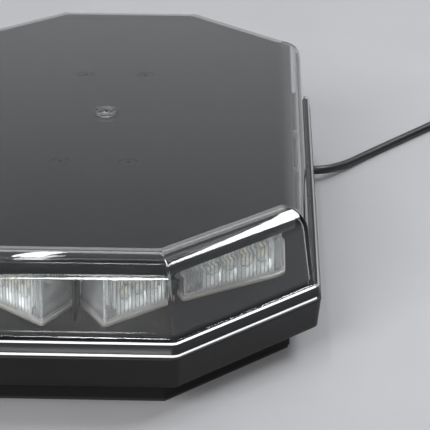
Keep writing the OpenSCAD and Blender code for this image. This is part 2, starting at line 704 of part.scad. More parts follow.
module plug_side_contacts() {
  color("silver") plug_frame() for (x = [0, 1]) mirror([x, 0, 0])
    translate([barrel_d / 2 - 1.9, -2.5, b1 - 14.7]) rotate([-90, 0, 0]) linear_extrude(5)
      polygon([[0, 0], [0.6, 0], [1.75, -5], [1.75, -7], [0.6, -12.4], [0, -12.4], [0, -11.8],
        [1.15, -6.7], [1.15, -5.3], [0, -0.8]]);
}
module plug_cap() {
  color("silver") plug_frame() difference() {
    translate([0, 0, b1]) union() {
      cylinder(h = cap_l - 3, d = barrel_d - 0.4);
      translate([0, 0, cap_l - 3]) cylinder(h = 3, d1 = barrel_d - 0.4, d2 = barrel_d - 8);
      translate([0, 0, -3]) cylinder(h = 3, d = 11.9);
    }
    translate([0, 0, b1 - 4]) cylinder(h = 4 + cap_l - 2.5, d = tip_d + 3);
    translate([0, 0, b1]) cylinder(h = cap_l + 1, d = tip_d + 2 * shank_gap);
  }
}
module plug_tip() {
  color("silver") plug_frame() translate([0, 0, c1 - 2.5]) {
    translate([0, 0, -1.6]) cylinder(h = 1.5, d = tip_d + 2.8);
    translate([0, 0, -0.2]) cylinder(h = 6.2, d = tip_d);
    translate([0, 0, 6]) cylinder(h = 1.8, d1 = tip_d, d2 = tip_d - 4);
  }
}
module plug_fuse() {
  color("#d8d8d2") plug_frame() translate([0, 0, h1 + 2]) {
    cylinder(h = 5, d = 6.3);
    translate([0, 0, 5]) cylinder(h = 12, d = 5.6);
    translate([0, 0, 17]) cylinder(h = 5, d = 6.3);
  }
}

base_housing();
foot_pan();
rubber_pad();
magnet_cups();
magnet_discs();
magnet_screws();
cover_screws();
vent_plug();
dome_gasket();
dome();
dome_screws();
cover_plate();
plate_screws();
plate_posts();
heat_frame();
front_lens_left();
front_lens_right();
rear_lens_left();
rear_lens_right();
corner_lens_front_left();
corner_lens_front_right();
corner_lens_rear_left();
corner_lens_rear_right();
left_lens_front();
left_lens_middle();
left_lens_rear();
right_lens_front();
right_lens_middle();
right_lens_rear();
end_led_boards();
corner_led_boards();
side_led_boards();
end_leds();
corner_leds();
side_leds();
frame_screws();
driver_board();
board_standoffs();
controller_chip();
capacitors();
inductors();
power_switches();
terminal_block();
wire_sockets();
harness();
cord_grommet();
strain_relief();
supply_cord();
cord_coil();
cord_tie();
cord_tail();
plug_relief();
plug_handle();
plug_barrel();
plug_cap();
plug_tip();
plug_fuse();
plug_side_contacts();
plug_rocker();
plug_button();
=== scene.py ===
import math

import bmesh
import bpy
import numpy as np
from mathutils import Matrix, Vector
from mathutils.geometry import delaunay_2d_cdt


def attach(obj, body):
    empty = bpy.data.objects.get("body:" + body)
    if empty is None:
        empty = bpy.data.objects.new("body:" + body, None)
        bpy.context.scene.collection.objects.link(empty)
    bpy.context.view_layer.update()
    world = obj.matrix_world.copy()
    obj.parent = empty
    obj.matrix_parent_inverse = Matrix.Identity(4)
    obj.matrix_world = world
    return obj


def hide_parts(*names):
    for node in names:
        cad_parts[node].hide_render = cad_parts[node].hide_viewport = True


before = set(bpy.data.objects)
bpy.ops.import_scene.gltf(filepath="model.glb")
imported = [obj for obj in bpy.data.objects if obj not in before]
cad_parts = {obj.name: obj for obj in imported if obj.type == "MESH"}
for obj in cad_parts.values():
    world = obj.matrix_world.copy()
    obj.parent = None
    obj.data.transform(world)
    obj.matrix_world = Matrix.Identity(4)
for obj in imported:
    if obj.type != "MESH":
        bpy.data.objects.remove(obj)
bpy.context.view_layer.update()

MM = 0.001

# ---------------------------------------------------------------- camera
camera = bpy.data.objects.new("camera", bpy.data.cameras.new("camera"))
bpy.context.scene.collection.objects.link(camera)
# the camera's own three axes, and where it stands in metres
right = (0.9996, 0.02802, 0.00529)
up = (-0.01567, 0.38472, 0.92289)
back = (0.02383, -0.92261, 0.38501)
stand = (0.07306, -0.81781, 0.35374)
camera.matrix_world = Matrix([[right[i], up[i], back[i], stand[i]] for i in range(3)] + [[0, 0, 0, 1]])
camera.data.lens = 153.75
camera.data.sensor_width = 36.0
camera.data.clip_start = 0.02
camera.data.clip_end = 30.0
bpy.context.scene.camera = camera
bpy.context.scene.view_settings.view_transform = "Standard"


# ---------------------------------------------------------------- mesh helpers
def piece_of(name, points, faces, body="beacon"):
    """A smooth mesh from points in millimetres and faces, already in its place, riding on a body."""
    mesh = bpy.data.meshes.new(name)
    mesh.from_pydata((np.asarray(points, float) * MM).tolist(), [], faces)
    mesh.validate()
    mesh.polygons.foreach_set("use_smooth", np.ones(len(mesh.polygons), bool))
    thing = bpy.data.objects.new(name, mesh)
    bpy.context.scene.collection.objects.link(thing)
    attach(thing, body)
    return thing


def grid_faces(rows, cols, closed=True):
    """Quads of a grid of points, row after row; closed joins the last column to the first."""
    i, j = np.meshgrid(np.arange(rows - 1), np.arange(cols if closed else cols - 1), indexing="ij")
    k = (j + 1) % cols
    quads = np.stack([i * cols + j, i * cols + k, (i + 1) * cols + k, (i + 1) * cols + j], -1)
    return quads.reshape(-1, 4).tolist()


def joined(parts):
    """Several (points, faces) pairs as one pair, the faces renumbered."""
    points, faces, start = [], [], 0
    for p, f in parts:
        points.append(np.asarray(p, float))
        faces += [[v + start for v in face] for face in f]
        start += len(p)
    return np.concatenate(points), faces


def welded(thing, distance=0.0005):
    """Merges points closer than twice distance in millimetres and makes the faces point outwards."""
    bm = bmesh.new()
    bm.from_mesh(thing.data)
    bmesh.ops.remove_doubles(bm, verts=bm.verts, dist=distance * MM * 2)
    bmesh.ops.dissolve_degenerate(bm, dist=distance * MM, edges=bm.edges)
    bmesh.ops.recalc_face_normals(bm, faces=bm.faces)
    bm.to_mesh(thing.data)
    bm.free()
    return thing


def tube(path, radius, sides):
    """A round section carried along a path that is nowhere upright: each ring lies across the path's mean
    direction there, with one axis level, and both ends are closed."""
    path = np.asarray(path, float)
    way = np.gradient(path, axis=0)
    way /= np.linalg.norm(way, axis=1)[:, None]
    side = np.cross(way, [0.0, 0.0, 1.0])
    side /= np.linalg.norm(side, axis=1)[:, None]
    top = np.cross(side, way)
    turn = np.linspace(0, 2 * np.pi, sides, endpoint=False)
    ring = np.cos(turn)[None, :, None] * side[:, None] + np.sin(turn)[None, :, None] * top[:, None]
    points = (path[:, None] + radius * ring).reshape(-1, 3)
    last = (len(path) - 1) * sides
    ends = [list(range(sides))[::-1], [last + s for s in range(sides)]]
    return points, grid_faces(len(path), sides) + ends


# ---------------------------------------------------------------- cord
CORD_D = 4.5
# the lead's way over the table from the grommet to the coil, and from the coil to the plug
ROUTE = [
    (84, 77, 6.5), (90, 77, 6.5), (95, 77, 6.5), (100, 78, 6.2), (106, 81, 5.4), (112, 87, 4.2), (120, 97, 2.9),
    (130, 111, 2.3), (141, 125, 2.3), (153, 140, 2.3), (165, 155, 2.3), (176, 168, 3), (186, 180, 5),
    (194, 190, 7.5), (201, 198, 9),
]
TAIL = [
    (264.8, 172, 14.1), (264.6, 164, 14), (263.4, 156, 13.8), (261.4, 148, 13.4), (259.4, 140, 12.9),
    (258.2, 133, 12.6), (258, 128, 12.5),
]
COIL = np.array([231.0, 172.0])
# places of the turns in the bundle, as (radius, height), from the lamp's end to the plug's
TURNS = np.array([
    (40.7, 10.15), (38.4, 6.2), (40.7, 2.3), (36.1, 2.3), (31.5, 2.3), (26.9, 2.3), (29.2, 6.2), (33.8, 6.2),
    (36.1, 10.15), (31.5, 10.15), (26.9, 10.15), (29.2, 14.1), (33.8, 14.1), (33.8, 14.1),
])
# the angle at which the lead meets the coil, and the share of a turn in which the cord changes its place
MEETS, PASSING = math.radians(139.0), 0.16
# the step of the lead's points in millimetres, and the sides of its section
LEAD_STEP, LEAD_SIDES = 2.5, 12


def eased(points, step):
    """A smooth line through points: a Catmull-Rom curve, resampled at an even step."""
    p = np.asarray(points, float)
    p = np.vstack([2 * p[0] - p[1], p, 2 * p[-1] - p[-2]])
    t = np.linspace(0, 1, 24, endpoint=False)[:, None]
    line = [
        0.5 * (2 * b + (c - a) * t + (2 * a - 5 * b + 4 * c - d) * t ** 2 + (3 * b - a - 3 * c + d) * t ** 3)
        for a, b, c, d in zip(p[:-3], p[1:-2], p[2:-1], p[3:])
    ]
    line = np.vstack(line + [p[-2:-1]])
    run = np.r_[0, np.cumsum(np.linalg.norm(np.diff(line, axis=0), axis=1))]
    at = np.linspace(0, run[-1], max(2, int(round(run[-1] / step)) + 1))
    return np.stack([np.interp(at, run, line[:, k]) for k in range(3)], 1)


def wound():
    """The coil's turns: the angle falls evenly, and near the tie the radius and height ease from one place of
    the bundle to the next by 3 part squared less 2 part cubed; two slow waves loosen the radius."""
    whole = len(TURNS) - 1
    angle = np.linspace(0, MEETS + 2 * np.pi * whole, whole * 64 + 26)
    theta = MEETS - angle
    # turns counted from the tie, where the cord passes from one place to the next
    count = (angle - (MEETS + np.pi / 2)) / (2 * np.pi) + 1
    k = np.clip(np.floor(count).astype(int), 0, whole)
    part = np.clip((count - k - (1 - PASSING)) / PASSING, 0, 1)
    part = part * part * (3 - 2 * part)
    after = np.clip(k + 1, 0, whole)
    spot = TURNS[k] * (1 - part[:, None]) + TURNS[after] * part[:, None]
    radius = spot[:, 0] + 0.35 * np.sin(3 * theta + 0.8) + 0.2 * np.sin(5 * theta)
    return np.stack([COIL[0] + radius * np.cos(theta), COIL[1] + radius * np.sin(theta), spot[:, 1]], 1)


coil = wound()
# a few points of the coil give way to smooth joins at its two ends, and points that fall together are dropped
lead = np.vstack([
    eased(ROUTE + [coil[3]], LEAD_STEP)[1:-1], coil[3:-2], eased([coil[-2]] + TAIL[1:], LEAD_STEP)[1:],
])
lead = lead[np.r_[True, np.linalg.norm(np.diff(lead, axis=0), axis=1) > 0.4]]
cord = piece_of("supply_lead", *tube(lead, CORD_D / 2, LEAD_SIDES))
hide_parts("supply_cord", "cord_coil", "cord_tail")


# ---------------------------------------------------------------- colours and nodes
def colour(code):
    """An sRGB hex value as linear RGBA: each channel c becomes c / 12.92 up to 0.04045, and
    ((c + 0.055) / 1.055) ** 2.4 above."""
    c = np.array([int(code[i:i + 2], 16) for i in (1, 3, 5)]) / 255
    return (*np.where(c <= 0.04045, c / 12.92, ((c + 0.055) / 1.055) ** 2.4).tolist(), 1.0)


def add(tree, kind, links=None, **settings):
    """One node with its settings and links: a setting that names an input socket goes there, any other is the
    node's own property."""
    node = tree.nodes.new(kind)
    for key, value in settings.items():
        name = key.replace("_", " ")
        socket = next((s for s in node.inputs if s.name.lower() == name.lower()), None)
        if socket is not None and not hasattr(type(node), key):
            socket.default_value = value
        else:
            setattr(node, key, value)
    for key, source in (links or {}).items():
        tree.links.new(source, node.inputs[key])
    return node


def finish_of(name, base, rough, **more):
    """A new material with one Principled shader; returns (material, tree, shader)."""
    material = bpy.data.materials.new(name)
    material.use_nodes = True
    tree = material.node_tree
    shader = tree.nodes["Principled BSDF"]
    shader.inputs["Base Color"].default_value = colour(base)
    shader.inputs["Roughness"].default_value = rough
    for key, value in more.items():
        shader.inputs[key.replace("_", " ")].default_value = value
    return material, tree, shader


def place(tree, stretch=(1, 1, 1)):
    """Object coordinates in metres, stretched by a Mapping node."""
    where = add(tree, "ShaderNodeTexCoord")
    mapped = add(tree, "ShaderNodeMapping", {"Vector": where.outputs["Object"]})
    mapped.inputs["Scale"].default_value = stretch
    return mapped.outputs["Vector"]


def grained(name, base, rough, grain_mm, depth, spread=0.06, tone=0.12, stretch=(1, 1, 1), **more):
    """Moulded or rubbed stock: fine noise of grain_mm lifts the surface by depth in millimetres, and a coarse
    noise of 30 grains moves the roughness by spread and the tone by the share tone."""
    material, tree, shader = finish_of(name, base, rough, **more)
    vector = place(tree, stretch)
    fine = add(tree, "ShaderNodeTexNoise", {"Vector": vector}, Scale=1000 / grain_mm, Detail=3.0, Roughness=0.6)
    broad = add(tree, "ShaderNodeTexNoise", {"Vector": vector}, Scale=1000 / (grain_mm * 30), Detail=4.0,
                Roughness=0.55)
    span = add(tree, "ShaderNodeMapRange", {"Value": broad.outputs["Fac"]}, From_Min=0.3, From_Max=0.7,
               To_Min=rough - spread, To_Max=rough + spread)
    tree.links.new(span.outputs["Result"], shader.inputs["Roughness"])
    c = np.array(colour(base)[:3])
    ramp = add(tree, "ShaderNodeValToRGB", {"Fac": broad.outputs["Fac"]})
    dark, light = ramp.color_ramp.elements
    dark.position, light.position = 0.3, 0.7
    dark.color = (*(c * (1 - tone)), 1)
    light.color = (*np.minimum(c * (1 + tone), 1), 1)
    tree.links.new(ramp.outputs["Color"], shader.inputs["Base Color"])
    bump = add(tree, "ShaderNodeBump", {"Height": fine.outputs["Fac"]}, Strength=0.6, Distance=depth * MM)
    tree.links.new(bump.outputs["Normal"], shader.inputs["Normal"])
    return material


def clear_stock(name, base, rough, wave_mm, wave_deep, through=1.0):
    """Clear moulded plastic: transmission with slow waves of the moulding, wave_mm long and wave_deep high."""
    material, tree, shader = finish_of(name, base, rough, Transmission_Weight=through, IOR=1.49)
    wave = add(tree, "ShaderNodeTexNoise", {"Vector": place(tree)}, Scale=1000 / wave_mm, Detail=1.5, Roughness=0.4)
    bump = add(tree, "ShaderNodeBump", {"Height": wave.outputs["Fac"]}, Strength=1.0, Distance=wave_deep * MM)
    tree.links.new(bump.outputs["Normal"], shader.inputs["Normal"])
    return material


def clad(thing, *materials):
    """Gives the thing these materials and no other, in this order."""
    thing.data.materials.clear()
    for material in materials:
        thing.data.materials.append(material)


def clad_by_place(thing, number_at):
    """Gives each face the material whose number number_at works out from the face's middle in millimetres."""
    middle = np.zeros(3 * len(thing.data.polygons))
    thing.data.polygons.foreach_get("center", middle)
    number = number_at(middle.reshape(-1, 3) / MM).astype(np.int32)
    thing.data.polygons.foreach_set("material_index", number)
    thing.data.update()


# ---------------------------------------------------------------- outlines of the octagonal body
# the octagon's half width and half length, how far a corner's cut reaches, and what the cut loses per
# millimetre of inset, 2 less the root of 2
HALF_W, HALF_L, CUT, CUT_LOSS = 100.0, 179.0, 58.0, 0.5858
# heights: under the skirt, the rim's ledge, the deck, the plate's face, and the dome's ceiling and top
SKIRT_Z, RIM_Z, DECK_Z, PLATE_Z, CEILING_Z, TOP_Z = 12.5, 27.0, 32.0, 61.3, 62.5, 65.0
# insets at which the flat faces begin: the dome's top, the deck, and the plate's face and hollow underside
TOP_SET, DECK_SET, PLATE_SET, HOLLOW_SET = 19.5, 8.5, 14.6, 15.6
# inset and height of the skirt's inside, and the height of the plate's hollow
UNDER_SET, UNDER_Z, HOLLOW_Z = 4.0, 24.5, 59.3
# the dome's moulding mark, and the plate's screw recesses with their places
MARK_R, RECESS_R = 7.2, 6.0
SCREWS = [(x, y) for x in (-15, 15) for y in (-61, 61)]
# points on each corner's arc of an outline
CORNER_STEPS = 6


def outline(inset, guard=0.5):
    """An octagon with its corners cut at 45 degrees, moved inwards by inset: each corner is an arc whose radius
    shrinks with the inset, with one more point a little past either end of the arc to keep the sides flat."""
    radius = max(5 - 0.6 * inset, 1.2)
    w, l, c = HALF_W - inset, HALF_L - inset, CUT - CUT_LOSS * inset
    corner = np.array([
        (w, c - l), (w, l - c), (w - c, l), (c - w, l), (-w, l - c), (-w, c - l), (c - w, -l), (w - c, -l),
    ])
    middle = np.radians(45 * np.arange(8) - 22.5)
    centre = corner - radius / np.cos(np.pi / 8) * np.stack([np.cos(middle), np.sin(middle)], 1)
    turn = middle[:, None] + np.radians(np.linspace(-22.5, 22.5, CORNER_STEPS))[None]
    arc = centre[:, None] + radius * np.stack([np.cos(turn), np.sin(turn)], -1)
    first = arc[:, :1] - guard * np.stack([-np.sin(turn[:, :1]), np.cos(turn[:, :1])], -1)
    last = arc[:, -1:] + guard * np.stack([-np.sin(turn[:, -1:]), np.cos(turn[:, -1:])], -1)
    return np.concatenate([first, arc, last], 1).reshape(-1, 2)


def inset_of(points):
    """How far inside the octagon each point is, in millimetres: the smallest of its distances to the three
    kinds of side."""
    x, y = np.abs(points[:, 0]), np.abs(points[:, 1])
    return np.minimum(np.minimum(HALF_W - x, HALF_L - y), (HALF_W + HALF_L - CUT - x - y) / math.sqrt(2))


def shell(rows):
    """Rings of the outline stacked by (inset, height), each ring joined to the next; rising rows face
    outwards."""
    around = 8 * (CORNER_STEPS + 2)
    rings = [np.c_[outline(inset), np.full(around, z)] for inset, z in rows]
    return np.concatenate(rings), grid_faces(len(rows), around)


def arc_rows(centre, radius_in, radius_up, start, end, steps=5):
    """Points (inset, height) on an ellipse about centre, from one angle to another; 0 points outwards, 90 up."""
    t = np.radians(np.linspace(start, end, steps + 1))
    return [(centre[0] - radius_in * math.cos(a), centre[1] + radius_up * math.sin(a)) for a in t]


def sheet_with_holes(edge, holes, height, up=True):
    """A flat face inside a closed edge, less round holes: a constrained Delaunay triangulation of all the rings,
    without the triangles whose middles lie in a hole."""
    rings = [np.asarray(edge)] + [np.asarray(h) for h in holes]
    points = np.concatenate(rings)
    edges, start = [], 0
    for ring in rings:
        n = len(ring)
        edges += [(start + i, start + (i + 1) % n) for i in range(n)]
        start += n
    got = delaunay_2d_cdt([Vector(p) for p in points], edges, [], 1, 1e-6)
    out = np.array([tuple(v) for v in got[0]])
    tri = np.array([f for f in got[2] if len(f) == 3])
    middle = out[tri].mean(1)
    keep = np.ones(len(tri), bool)
    for ring in rings[1:]:
        reach = np.linalg.norm(ring - ring.mean(0), axis=1).min()
        keep &= np.linalg.norm(middle - ring.mean(0), axis=1) > reach * 0.999
    tri = tri[keep]
    a, b, c = (out[tri[:, k]] for k in range(3))
    turn = (b[:, 0] - a[:, 0]) * (c[:, 1] - a[:, 1]) - (b[:, 1] - a[:, 1]) * (c[:, 0] - a[:, 0])
    tri[(turn > 0) != up] = tri[(turn > 0) != up][:, ::-1]
    return np.c_[out, np.full(len(out), height)], tri.tolist()


def circle(centre, radius, steps=32):
    """Points at even angles on a circle."""
    t = np.linspace(0, 2 * np.pi, steps, endpoint=False)
    return np.stack([centre[0] + radius * np.cos(t), centre[1] + radius * np.sin(t)], 1)


def revolve(centre, profile, steps=32):
    """A profile of (radius, height) turned about an upright line through centre, from outside in; a last radius
    near 0 closes it."""
    rings = [np.c_[circle(centre, r, steps), np.full(steps, z)] for r, z in profile]
    return np.concatenate(rings), grid_faces(len(profile), steps)


# ---------------------------------------------------------------- dome
def dome_points():
    """The clear dome as one closed shell: the outer rows rise from the flange, over its ledge, up the drafted
    wall and the round shoulder to the flat top; the inner rows come back down inside; both flats close in the
    middle, the outer one round a moulding mark."""
    # the flange's foot and lower bead
    outer = [(4.5, 28.0), (2.2, 28.0), (1.9, 27.8), (1.8, 26.2)] + arc_rows((0.95, 26.65), 0.6, 0.55, -90, 0, 4)
    # its outer face and upper bead
    outer += [(0.37, 27.35), (0.55, 27.6), (1.0, 31.0)] + arc_rows((1.85, 31.2), 0.85, 0.75, 0, 90, 5)
    # the ledge and the root of the wall
    outer += [(2.7, 31.97), (3.1, 32.1), (3.4, 32.8), (3.55, 33.4), (3.65, 34.4), (3.68, 34.7)]
    # the wall and its shoulder
    outer += [(6.15, 53.8), (6.2, 54.2)] + arc_rows((18.5, 54.5), 12.25, 10.5, 0, 90, 16) + [(TOP_SET, TOP_Z)]
    inner = [(TOP_SET, CEILING_Z), (18.5, CEILING_Z)] + arc_rows((18.5, 55.5), 9.4, 7.0, 90, 0, 12)
    inner += [(9.0, 55.0), (8.95, 54.6), (6.25, 34.8), (6.2, 34.4), (6.0, 33.8), (6.0, 33.4), (6.0, 28.3)]
    inner += [(5.7, 28.0), (4.5, 28.0)]
    top = sheet_with_holes(outline(TOP_SET), [circle((0, 0), MARK_R)], TOP_Z)
    mark = revolve((0, 0), [
        (MARK_R, TOP_Z), (5.9, TOP_Z), (5.6, 65.1), (4.9, 65.12), (4.5, TOP_Z), (3.4, 64.93), (1.5, 64.98),
        (1.25, 65.2), (0.9, 65.22), (0.0001, 65.22),
    ])
    ceiling = sheet_with_holes(outline(TOP_SET), [], CEILING_Z, up=False)
    return joined([shell(outer), shell(inner), top, mark, ceiling])


dome = welded(piece_of("dome_shell", *dome_points()))
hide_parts("dome")


# ---------------------------------------------------------------- base
def base_points():
    """The base as one closed solid: up the drafted skirt with rounded edges, in over the rim's ledge and up to
    the deck; below, back under the skirt and up to the deck's underside."""
    rows = [(UNDER_SET, UNDER_Z), (UNDER_SET, 12.9), (3.6, SKIRT_Z), (2.3, SKIRT_Z)]
    rows += arc_rows((2.1, 13.1), 0.6, 0.6, -90, -5, 4)
    rows += [(1.35, 14.5), (0.25, 24.6)] + arc_rows((0.95, 25.2), 0.85, 0.8, 0, 90, 5)
    rows += [(1.9, 26.0), (2.0, 26.1), (2.05, 26.9), (2.2, RIM_Z), (6.5, RIM_Z)]
    rows += [(6.7, 27.2), (6.7, 31.4), (6.9, 31.8), (7.3, DECK_Z), (DECK_SET, DECK_Z)]
    deck = sheet_with_holes(outline(DECK_SET), [], DECK_Z)
    under = sheet_with_holes(outline(UNDER_SET), [], UNDER_Z, up=False)
    return joined([shell(rows), deck, under])


base = welded(piece_of("base_skirt", *base_points()))
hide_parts("base_housing")


# ---------------------------------------------------------------- cover plate
def plate_points():
    """The black cover plate as one closed sheet with a rounded edge and a lip, four round screw recesses sunk
    into it, and its hollow underside."""
    rows = [(14.5, 54.8), (12.8, 54.8), (12.5, 55.1), (12.5, 59.9)] + arc_rows((13.6, 60.2), 1.1, 1.1, 0, 90, 6)
    rows += [(PLATE_SET, PLATE_Z)]
    inner = [(HOLLOW_SET, HOLLOW_Z), (14.8, HOLLOW_Z), (14.5, 59.0), (14.5, 54.8)]
    top = sheet_with_holes(outline(PLATE_SET), [circle(s, RECESS_R) for s in SCREWS], PLATE_Z)
    well = [
        (RECESS_R, PLATE_Z), (5.2, PLATE_Z), (4.95, 61.2), (4.8, 60.9), (4.7, 59.2), (4.5, 58.95), (4.0, 58.9),
        (0.0001, 58.9),
    ]
    ceiling = sheet_with_holes(outline(HOLLOW_SET), [], HOLLOW_Z, up=False)
    return joined([shell(rows), shell(inner), top, ceiling] + [revolve(s, well) for s in SCREWS])


plate = welded(piece_of("cover_sheet", *plate_points()))
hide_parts("cover_plate")


# ---------------------------------------------------------------- lamp heads
# the heads' outer faces in plan; the corner's outline goes round its board too, its path only where a lens is
END_HEAD = [(1.4, -136), (1.4, -143), (12.4, -163), (37.5, -140.5), (37.5, -136)]
CORNER_HEAD = [(39.5, -131), (42, -137.5), (80, -112.5), (83, -109), (83, -77), (73, -77), (73, -103.5), (45.5, -121.6)]
CORNER_PATH = [(45.5, -121.6), (39.5, -131), (42, -137.5), (80, -112.5), (83, -109), (83, -77), (73, -77)]
SIDE_IN, SIDE_OUT, SIDE_HALF = 71.5, 83, 23
SIDE_PLACES = {-49.5: "front", 0: "middle", 49.5: "rear"}
# how far the LED boards stand behind the lens, the lens wall's thickness, and the height of the LEDs
BOARD_SET, LENS_T, LED_Z = 6.5, 1.8, 42.0
# below this height a head's wall is its foot rim
FOOT_RIM_Z = 33.75


def side_path(y):
    """A side head's outer face in plan, about y."""
    return [(SIDE_IN, y - SIDE_HALF), (SIDE_OUT, y - SIDE_HALF), (SIDE_OUT, y + SIDE_HALF), (SIDE_IN, y + SIDE_HALF)]


def moved_in(corners, inset):
    """A closed anticlockwise polygon moved inwards: each corner goes along the sum of its two sides' normals,
    over one plus their product."""
    p = np.asarray(corners, float)
    along = np.roll(p, -1, 0) - p
    along /= np.linalg.norm(along, axis=1)[:, None]
    after = np.stack([-along[:, 1], along[:, 0]], 1)
    before = np.roll(after, 1, 0)
    return p + inset * (before + after) / (1 + (before * after).sum(1))[:, None]


def softened(path, radius, step):
    """A polyline with its corners rounded to quadratic curves of that reach, resampled at an even step; returns
    the points, the normals that point to its left, and how far along it each point is."""
    p = np.asarray(path, float)
    line = [p[:1]]
    t = np.linspace(0, 1, 7)[:, None]
    for a, b, c in zip(p[:-2], p[1:-1], p[2:]):
        ra, rc = (min(radius, 0.45 * np.linalg.norm(q - b)) for q in (a, c))
        s, e = b + ra * (a - b) / np.linalg.norm(a - b), b + rc * (c - b) / np.linalg.norm(c - b)
        line.append((1 - t) ** 2 * s + 2 * t * (1 - t) * b + t ** 2 * e)
    line = np.vstack(line + [p[-1:]])
    run = np.r_[0, np.cumsum(np.linalg.norm(np.diff(line, axis=0), axis=1))]
    at = np.linspace(0, run[-1], int(run[-1] / step) + 1)
    out = np.stack([np.interp(at, run, line[:, k]) for k in range(2)], 1)
    way = np.gradient(out, axis=0)
    way /= np.linalg.norm(way, axis=1)[:, None]
    return out, np.stack([-way[:, 1], way[:, 0]], 1), at


def head_points(path, ribbed, pitch=1.9, deep=0.8):
    """The upright lens wall of a head: its section goes out over a foot rim, up the smooth outer face, and back
    down an inner face whose flutes are half sine waves along the path; ribbed gives where the flutes run, in mm
    along it."""
    line, left, at = softened(path, 1.2, 0.38)
    amount = np.zeros(len(at))
    for a, b in ribbed:
        amount = np.maximum(amount, np.clip(np.minimum(at - a, b - at) / 1.0, 0, 1))
    flute = deep * np.abs(np.sin(np.pi * at / pitch)) * amount
    # the section as (offset to the left, height, share of the flutes)
    section = [
        (-0.7, 32.0, 0), (-0.7, 33.3, 0), (-0.5, 33.65, 0), (-0.05, 33.7, 0), (0.05, 33.9, 0), (0.25, 53.9, 0),
        (0.6, 54.4, 0), (1.3, 54.4, 0), (1.35, 53.6, 1), (1.35, 35.0, 1), (1.5, 34.2, 0.5), (1.5, 32.0, 0),
    ]
    rows = [np.c_[line + left * (off + share * flute)[:, None], np.full(len(at), z)] for off, z, share in section]
    n, m = len(rows), len(at)
    i, j = np.meshgrid(np.arange(n), np.arange(m - 1), indexing="ij")
    k = (i + 1) % n
    faces = np.stack([i * m + j, i * m + j + 1, k * m + j + 1, k * m + j], -1).reshape(-1, 4).tolist()
    faces += [[r * m for r in range(n)], [r * m + m - 1 for r in range(n)][::-1]]
    return np.concatenate(rows), faces


def mirrored(points, faces, x, y):
    """The same piece on another side: x and y flip, and the faces turn round when one of them does."""
    out = np.asarray(points) * [-1 if x else 1, -1 if y else 1, 1]
    return out, [list(f)[::-1] for f in faces] if x != y else faces


def facing(start, end):
    """The unit way along a row from start to end, its length, and the unit way out of the lamp."""
    long = np.linalg.norm(end - start)
    u = (end - start) / long
    return u, long, np.array([u[1], -u[0]])


def bright_strip(start, end, count, low=33.2, high=53.6):
    """The metallised reflector behind a row of LEDs: a sheet along the row whose depth is the smallest of the
    paraboloids round the LEDs, cut off at 3.4 mm, with a shallow hole at each LED."""
    u, long, out = facing(start, end)
    s = np.linspace(-1.2, long + 1.2, int(long / 0.55) + 6)
    v = np.linspace(low, high, 38)
    a, b = np.meshgrid(s, v, indexing="ij")
    middles = long * (np.arange(count) + 0.5) / count
    away = ((a[..., None] - middles) ** 2).min(-1) + (b - LED_Z) ** 2 * 0.55
    hole = np.clip((3.1 - np.sqrt(away)) / 0.6, 0, 1)
    depth = np.clip(away / 9.5, 0, 3.4) + 0.35 - 0.25 * hole
    flat = start + a[..., None] * u + depth[..., None] * out
    points = np.concatenate([flat.reshape(-1, 2), b.reshape(-1, 1)], 1)
    return points, grid_faces(len(s), len(v), closed=False)


def cup_lens(at, out, height, radius, deep):
    """A small turned optic on an LED: its section widens from a neck by a parabola, and its face is a shallow
    dome."""
    neck = 1.9
    r = np.array([
        0.0001, 0.9, 1.5, neck, neck + 0.45 * (radius - neck), neck + 0.8 * (radius - neck), radius, radius,
        0.7 * radius, 0.35 * radius, 0.0001,
    ])
    x = 0.6 + np.array([
        0.9, 0.9, 0.9, 1.1, 0.25 * deep, 0.55 * deep, 0.92 * deep, deep, deep + 0.35, deep + 0.5, deep + 0.55,
    ])
    t = np.linspace(0, 2 * np.pi, 20, endpoint=False)
    side = np.array([-out[1], out[0]])
    flat = at[None, None] + x[:, None, None] * out + (r[:, None] * np.cos(t))[..., None] * side
    z = height + r[:, None] * np.sin(t)
    return np.concatenate([flat.reshape(-1, 2), z.reshape(-1, 1)], 1), grid_faces(len(r), 20)


def rows_of(kind, y):
    """Where the LED rows of a head stand: (start, end, count), as in the heads' own design."""
    if kind == "end":
        q = moved_in(END_HEAD, BOARD_SET)
        return [(q[1], q[2] - [0.2, 0], 1), (q[2] + [0.4, 0.4], q[3], 3)]
    if kind == "corner":
        q = moved_in(CORNER_HEAD, BOARD_SET)
        return [(q[1] + 0.08 * (q[2] - q[1]), q[2], 4)]
    h = SIDE_HALF - LENS_T - 1
    return [(np.array([SIDE_OUT - BOARD_SET, y - h]), np.array([SIDE_OUT - BOARD_SET, y + h]), 4)]


def node_of(kind, y, left, rear):
    """The CAD node that a head stands for."""
    side, end = "left" if left else "right", "rear" if rear else "front"
    if kind == "end":
        return f"{end}_lens_{side}"
    if kind == "corner":
        return f"corner_lens_{end}_{side}"
    return f"{side}_lens_{SIDE_PLACES[y]}"


